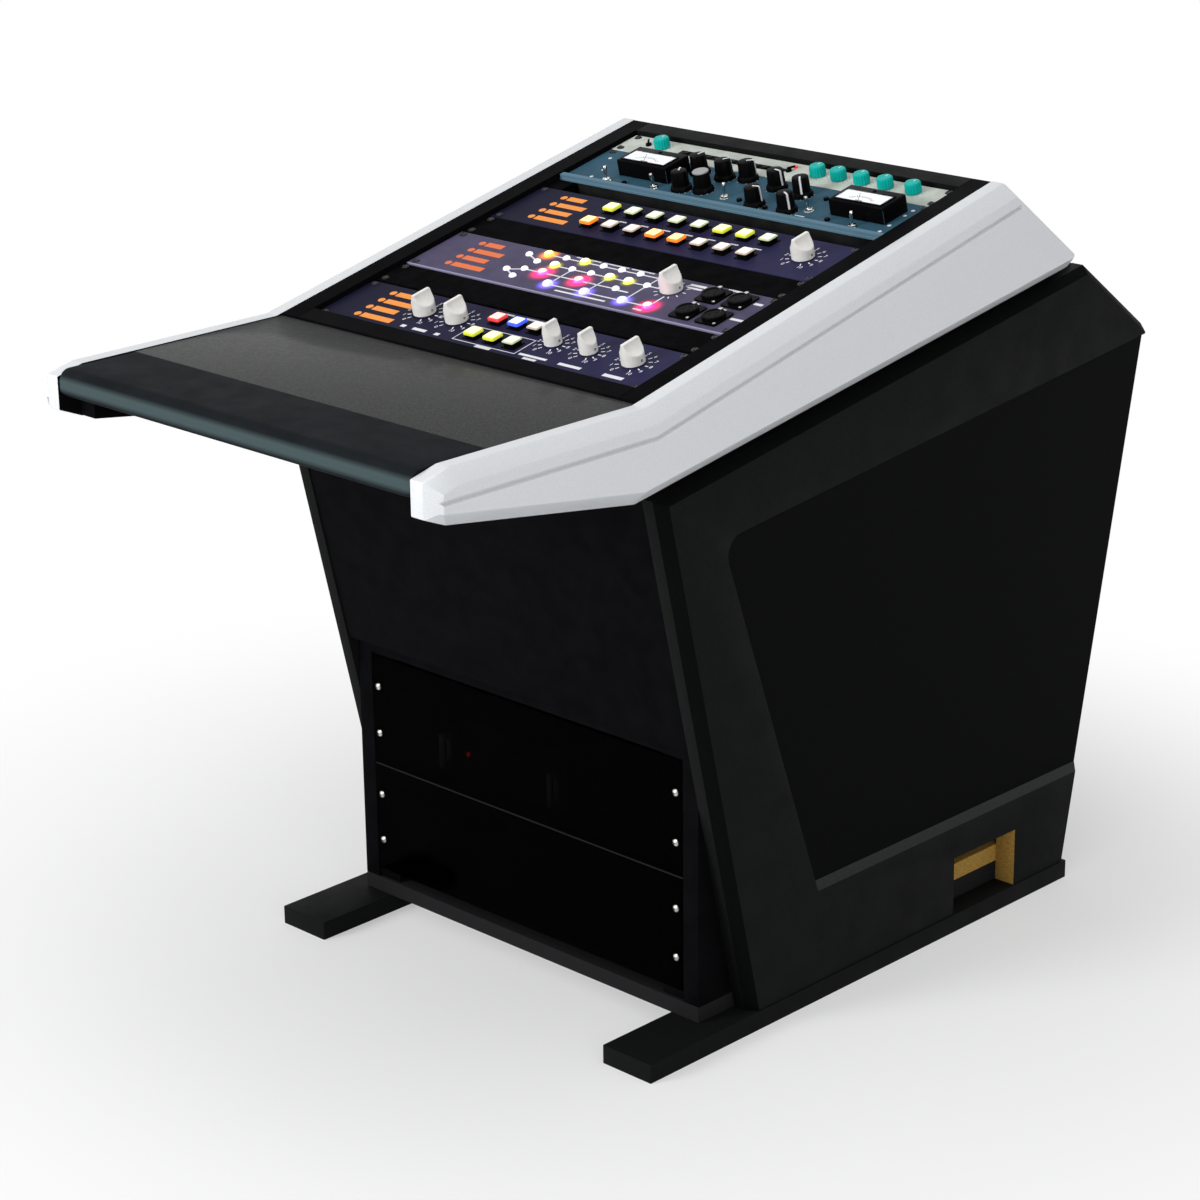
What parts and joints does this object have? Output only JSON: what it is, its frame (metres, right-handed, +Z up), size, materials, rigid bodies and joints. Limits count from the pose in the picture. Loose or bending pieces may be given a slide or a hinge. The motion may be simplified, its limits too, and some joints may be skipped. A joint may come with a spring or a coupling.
{
  "type": "studio rack desk",
  "caption": "Narrow studio desk: sloped 19 inch rack bay with audio gear, padded armrest, silver cheeks, lower rack behind smoked panels, leaning side panels on runners.",
  "frame": {"origin": "on the floor, under the middle of the desk's length and width", "axes": "+X to the right of the seated user, +Y away from the user to the desk's back, +Z up"},
  "size_m": [0.5996, 1.132, 0.862],
  "materials": {
    "silver_lacquer": "satin silver lacquer on fibreboard",
    "black_lacquer": "black textured lacquer on fibreboard",
    "raw_board": "raw fibreboard",
    "laminate": "semi-gloss dark laminate",
    "vinyl": "smooth padded vinyl cover",
    "smoked_acrylic": "smoked, glossy",
    "black_metal": "satin black powder coat",
    "navy_panel": "satin dark navy paint",
    "lilac_panel": "satin grey-purple paint",
    "blue_panel": "satin steel-blue paint",
    "ivory_panel": "satin ivory paint",
    "white_knob": "smooth off-white",
    "teal_cap": "glossy teal",
    "lamp_button": "frosted pale green-white lens",
    "yellow_button": "lit yellow lens",
    "orange_button": "lit orange lens",
    "red_button": "lit red lens",
    "blue_button": "lit blue lens"
  },
  "bodies": {
    "desk_frame": {"runner_left": "black_lacquer", "runner_right": "black_lacquer", "side_panel_left": "black_lacquer", "side_panel_right": "black_lacquer", "rack_side_left": "black_lacquer", "rack_side_right": "black_lacquer", "modesty_panel": "black_lacquer", "rear_slope_panel": "black_lacquer", "rear_panel": "black_lacquer", "lower_rack_carcass": "black_lacquer", "base_board": "raw_board", "cheek_left": "silver_lacquer", "cheek_right": "silver_lacquer", "armrest_pad": "vinyl", "work_surface": "laminate", "smoked_panel_upper": "smoked_acrylic", "smoked_panel_lower": "smoked_acrylic", "power_supply": "black_metal", "filler_1": "black_metal", "filler_2": "black_metal", "unit_1": "navy_panel", "unit_3": "navy_panel", "unit_2": "lilac_panel", "unit_4": "blue_panel", "unit_5": "ivory_panel"},
    "unit_1_knob_1_body": {"unit_1_knob_1": "white_knob"},
    "unit_1_knob_2_body": {"unit_1_knob_2": "white_knob"},
    "unit_1_knob_3_body": {"unit_1_knob_3": "white_knob"},
    "unit_1_knob_4_body": {"unit_1_knob_4": "white_knob"},
    "unit_1_knob_5_body": {"unit_1_knob_5": "white_knob"},
    "unit_2_knob_1_body": {"unit_2_knob_1": "white_knob"},
    "unit_3_knob_1_body": {"unit_3_knob_1": "white_knob"},
    "unit_5_knob_1_body": {"unit_5_knob_1": "teal_cap"},
    "unit_5_knob_2_body": {"unit_5_knob_2": "teal_cap"},
    "unit_5_knob_3_body": {"unit_5_knob_3": "teal_cap"},
    "unit_5_knob_4_body": {"unit_5_knob_4": "teal_cap"},
    "unit_5_knob_5_body": {"unit_5_knob_5": "teal_cap"},
    "unit_5_knob_6_body": {"unit_5_knob_6": "teal_cap"},
    "unit_1_button_rear_1_body": {"unit_1_button_rear_1": "red_button"},
    "unit_1_button_rear_2_body": {"unit_1_button_rear_2": "blue_button"},
    "unit_1_button_rear_3_body": {"unit_1_button_rear_3": "lamp_button"},
    "unit_1_button_front_1_body": {"unit_1_button_front_1": "yellow_button"},
    "unit_1_button_front_2_body": {"unit_1_button_front_2": "yellow_button"},
    "unit_1_button_front_3_body": {"unit_1_button_front_3": "lamp_button"},
    "unit_3_button_rear_1_body": {"unit_3_button_rear_1": "yellow_button"},
    "unit_3_button_rear_2_body": {"unit_3_button_rear_2": "lamp_button"},
    "unit_3_button_rear_3_body": {"unit_3_button_rear_3": "lamp_button"},
    "unit_3_button_rear_4_body": {"unit_3_button_rear_4": "lamp_button"},
    "unit_3_button_rear_5_body": {"unit_3_button_rear_5": "lamp_button"},
    "unit_3_button_rear_6_body": {"unit_3_button_rear_6": "yellow_button"},
    "unit_3_button_rear_7_body": {"unit_3_button_rear_7": "yellow_button"},
    "unit_3_button_rear_8_body": {"unit_3_button_rear_8": "lamp_button"},
    "unit_3_button_front_1_body": {"unit_3_button_front_1": "orange_button"},
    "unit_3_button_front_2_body": {"unit_3_button_front_2": "lamp_button"},
    "unit_3_button_front_3_body": {"unit_3_button_front_3": "lamp_button"},
    "unit_3_button_front_4_body": {"unit_3_button_front_4": "orange_button"},
    "unit_3_button_front_5_body": {"unit_3_button_front_5": "orange_button"},
    "unit_3_button_front_6_body": {"unit_3_button_front_6": "lamp_button"},
    "unit_3_button_front_7_body": {"unit_3_button_front_7": "lamp_button"},
    "unit_3_button_front_8_body": {"unit_3_button_front_8": "lamp_button"}
  },
  "joints": [
    {"name": "unit_1_knob_1_turn", "type": "hinge", "parent": "desk_frame", "child": "unit_1_knob_1_body", "pos_m": [-0.11655, -0.18971, 0.74262], "axis": [0, -0.2275, 0.9738], "range_deg": [-150, 150]},
    {"name": "unit_1_knob_2_turn", "type": "hinge", "parent": "desk_frame", "child": "unit_1_knob_2_body", "pos_m": [-0.0666, -0.18971, 0.74262], "axis": [0, -0.2275, 0.9738], "range_deg": [-150, 150]},
    {"name": "unit_1_knob_3_turn", "type": "hinge", "parent": "desk_frame", "child": "unit_1_knob_3_body", "pos_m": [0.07818, -0.18971, 0.74262], "axis": [0, -0.2275, 0.9738], "range_deg": [-150, 150]},
    {"name": "unit_1_knob_4_turn", "type": "hinge", "parent": "desk_frame", "child": "unit_1_knob_4_body", "pos_m": [0.12958, -0.18971, 0.74262], "axis": [0, -0.2275, 0.9738], "range_deg": [-150, 150]},
    {"name": "unit_1_knob_5_turn", "type": "hinge", "parent": "desk_frame", "child": "unit_1_knob_5_body", "pos_m": [0.19256, -0.18971, 0.74262], "axis": [0, -0.2275, 0.9738], "range_deg": [-150, 150]},
    {"name": "unit_2_knob_1_turn", "type": "hinge", "parent": "desk_frame", "child": "unit_2_knob_1_body", "pos_m": [0.1081, -0.04278, 0.77695], "axis": [0, -0.2275, 0.9738], "range_deg": [-150, 150]},
    {"name": "unit_3_knob_1_turn", "type": "hinge", "parent": "desk_frame", "child": "unit_3_knob_1_body", "pos_m": [0.1899, 0.07378, 0.80418], "axis": [0, -0.2275, 0.9738], "range_deg": [-150, 150]},
    {"name": "unit_5_knob_1_turn", "type": "hinge", "parent": "desk_frame", "child": "unit_5_knob_1_body", "pos_m": [-0.18122, 0.25178, 0.84577], "axis": [0, -0.2275, 0.9738], "range_deg": [-150, 150]},
    {"name": "unit_5_knob_2_turn", "type": "hinge", "parent": "desk_frame", "child": "unit_5_knob_2_body", "pos_m": [0.05719, 0.25178, 0.84577], "axis": [0, -0.2275, 0.9738], "range_deg": [-150, 150]},
    {"name": "unit_5_knob_3_turn", "type": "hinge", "parent": "desk_frame", "child": "unit_5_knob_3_body", "pos_m": [0.08759, 0.25178, 0.84577], "axis": [0, -0.2275, 0.9738], "range_deg": [-150, 150]},
    {"name": "unit_5_knob_4_turn", "type": "hinge", "parent": "desk_frame", "child": "unit_5_knob_4_body", "pos_m": [0.12089, 0.25178, 0.84577], "axis": [0, -0.2275, 0.9738], "range_deg": [-150, 150]},
    {"name": "unit_5_knob_5_turn", "type": "hinge", "parent": "desk_frame", "child": "unit_5_knob_5_body", "pos_m": [0.15467, 0.25178, 0.84577], "axis": [0, -0.2275, 0.9738], "range_deg": [-150, 150]},
    {"name": "unit_5_knob_6_turn", "type": "hinge", "parent": "desk_frame", "child": "unit_5_knob_6_body", "pos_m": [0.19401, 0.25178, 0.84577], "axis": [0, -0.2275, 0.9738], "range_deg": [-150, 150]},
    {"name": "unit_1_button_rear_1_press", "type": "slide", "parent": "desk_frame", "child": "unit_1_button_rear_1_body", "axis": [0, -0.2275, 0.9738], "range_m": [-0.003, 0], "stiffness_N_per_m": 300, "springref_m": 0.001},
    {"name": "unit_1_button_rear_2_press", "type": "slide", "parent": "desk_frame", "child": "unit_1_button_rear_2_body", "axis": [0, -0.2275, 0.9738], "range_m": [-0.003, 0], "stiffness_N_per_m": 300, "springref_m": 0.001},
    {"name": "unit_1_button_rear_3_press", "type": "slide", "parent": "desk_frame", "child": "unit_1_button_rear_3_body", "axis": [0, -0.2275, 0.9738], "range_m": [-0.003, 0], "stiffness_N_per_m": 300, "springref_m": 0.001},
    {"name": "unit_1_button_front_1_press", "type": "slide", "parent": "desk_frame", "child": "unit_1_button_front_1_body", "axis": [0, -0.2275, 0.9738], "range_m": [-0.003, 0], "stiffness_N_per_m": 300, "springref_m": 0.001},
    {"name": "unit_1_button_front_2_press", "type": "slide", "parent": "desk_frame", "child": "unit_1_button_front_2_body", "axis": [0, -0.2275, 0.9738], "range_m": [-0.003, 0], "stiffness_N_per_m": 300, "springref_m": 0.001},
    {"name": "unit_1_button_front_3_press", "type": "slide", "parent": "desk_frame", "child": "unit_1_button_front_3_body", "axis": [0, -0.2275, 0.9738], "range_m": [-0.003, 0], "stiffness_N_per_m": 300, "springref_m": 0.001},
    {"name": "unit_3_button_rear_1_press", "type": "slide", "parent": "desk_frame", "child": "unit_3_button_rear_1_body", "axis": [0, -0.2275, 0.9738], "range_m": [-0.003, 0], "stiffness_N_per_m": 300, "springref_m": 0.001},
    {"name": "unit_3_button_rear_2_press", "type": "slide", "parent": "desk_frame", "child": "unit_3_button_rear_2_body", "axis": [0, -0.2275, 0.9738], "range_m": [-0.003, 0], "stiffness_N_per_m": 300, "springref_m": 0.001},
    {"name": "unit_3_button_rear_3_press", "type": "slide", "parent": "desk_frame", "child": "unit_3_button_rear_3_body", "axis": [0, -0.2275, 0.9738], "range_m": [-0.003, 0], "stiffness_N_per_m": 300, "springref_m": 0.001},
    {"name": "unit_3_button_rear_4_press", "type": "slide", "parent": "desk_frame", "child": "unit_3_button_rear_4_body", "axis": [0, -0.2275, 0.9738], "range_m": [-0.003, 0], "stiffness_N_per_m": 300, "springref_m": 0.001},
    {"name": "unit_3_button_rear_5_press", "type": "slide", "parent": "desk_frame", "child": "unit_3_button_rear_5_body", "axis": [0, -0.2275, 0.9738], "range_m": [-0.003, 0], "stiffness_N_per_m": 300, "springref_m": 0.001},
    {"name": "unit_3_button_rear_6_press", "type": "slide", "parent": "desk_frame", "child": "unit_3_button_rear_6_body", "axis": [0, -0.2275, 0.9738], "range_m": [-0.003, 0], "stiffness_N_per_m": 300, "springref_m": 0.001},
    {"name": "unit_3_button_rear_7_press", "type": "slide", "parent": "desk_frame", "child": "unit_3_button_rear_7_body", "axis": [0, -0.2275, 0.9738], "range_m": [-0.003, 0], "stiffness_N_per_m": 300, "springref_m": 0.001},
    {"name": "unit_3_button_rear_8_press", "type": "slide", "parent": "desk_frame", "child": "unit_3_button_rear_8_body", "axis": [0, -0.2275, 0.9738], "range_m": [-0.003, 0], "stiffness_N_per_m": 300, "springref_m": 0.001},
    {"name": "unit_3_button_front_1_press", "type": "slide", "parent": "desk_frame", "child": "unit_3_button_front_1_body", "axis": [0, -0.2275, 0.9738], "range_m": [-0.003, 0], "stiffness_N_per_m": 300, "springref_m": 0.001},
    {"name": "unit_3_button_front_2_press", "type": "slide", "parent": "desk_frame", "child": "unit_3_button_front_2_body", "axis": [0, -0.2275, 0.9738], "range_m": [-0.003, 0], "stiffness_N_per_m": 300, "springref_m": 0.001},
    {"name": "unit_3_button_front_3_press", "type": "slide", "parent": "desk_frame", "child": "unit_3_button_front_3_body", "axis": [0, -0.2275, 0.9738], "range_m": [-0.003, 0], "stiffness_N_per_m": 300, "springref_m": 0.001},
    {"name": "unit_3_button_front_4_press", "type": "slide", "parent": "desk_frame", "child": "unit_3_button_front_4_body", "axis": [0, -0.2275, 0.9738], "range_m": [-0.003, 0], "stiffness_N_per_m": 300, "springref_m": 0.001},
    {"name": "unit_3_button_front_5_press", "type": "slide", "parent": "desk_frame", "child": "unit_3_button_front_5_body", "axis": [0, -0.2275, 0.9738], "range_m": [-0.003, 0], "stiffness_N_per_m": 300, "springref_m": 0.001},
    {"name": "unit_3_button_front_6_press", "type": "slide", "parent": "desk_frame", "child": "unit_3_button_front_6_body", "axis": [0, -0.2275, 0.9738], "range_m": [-0.003, 0], "stiffness_N_per_m": 300, "springref_m": 0.001},
    {"name": "unit_3_button_front_7_press", "type": "slide", "parent": "desk_frame", "child": "unit_3_button_front_7_body", "axis": [0, -0.2275, 0.9738], "range_m": [-0.003, 0], "stiffness_N_per_m": 300, "springref_m": 0.001},
    {"name": "unit_3_button_front_8_press", "type": "slide", "parent": "desk_frame", "child": "unit_3_button_front_8_body", "axis": [0, -0.2275, 0.9738], "range_m": [-0.003, 0], "stiffness_N_per_m": 300, "springref_m": 0.001}
  ]
}
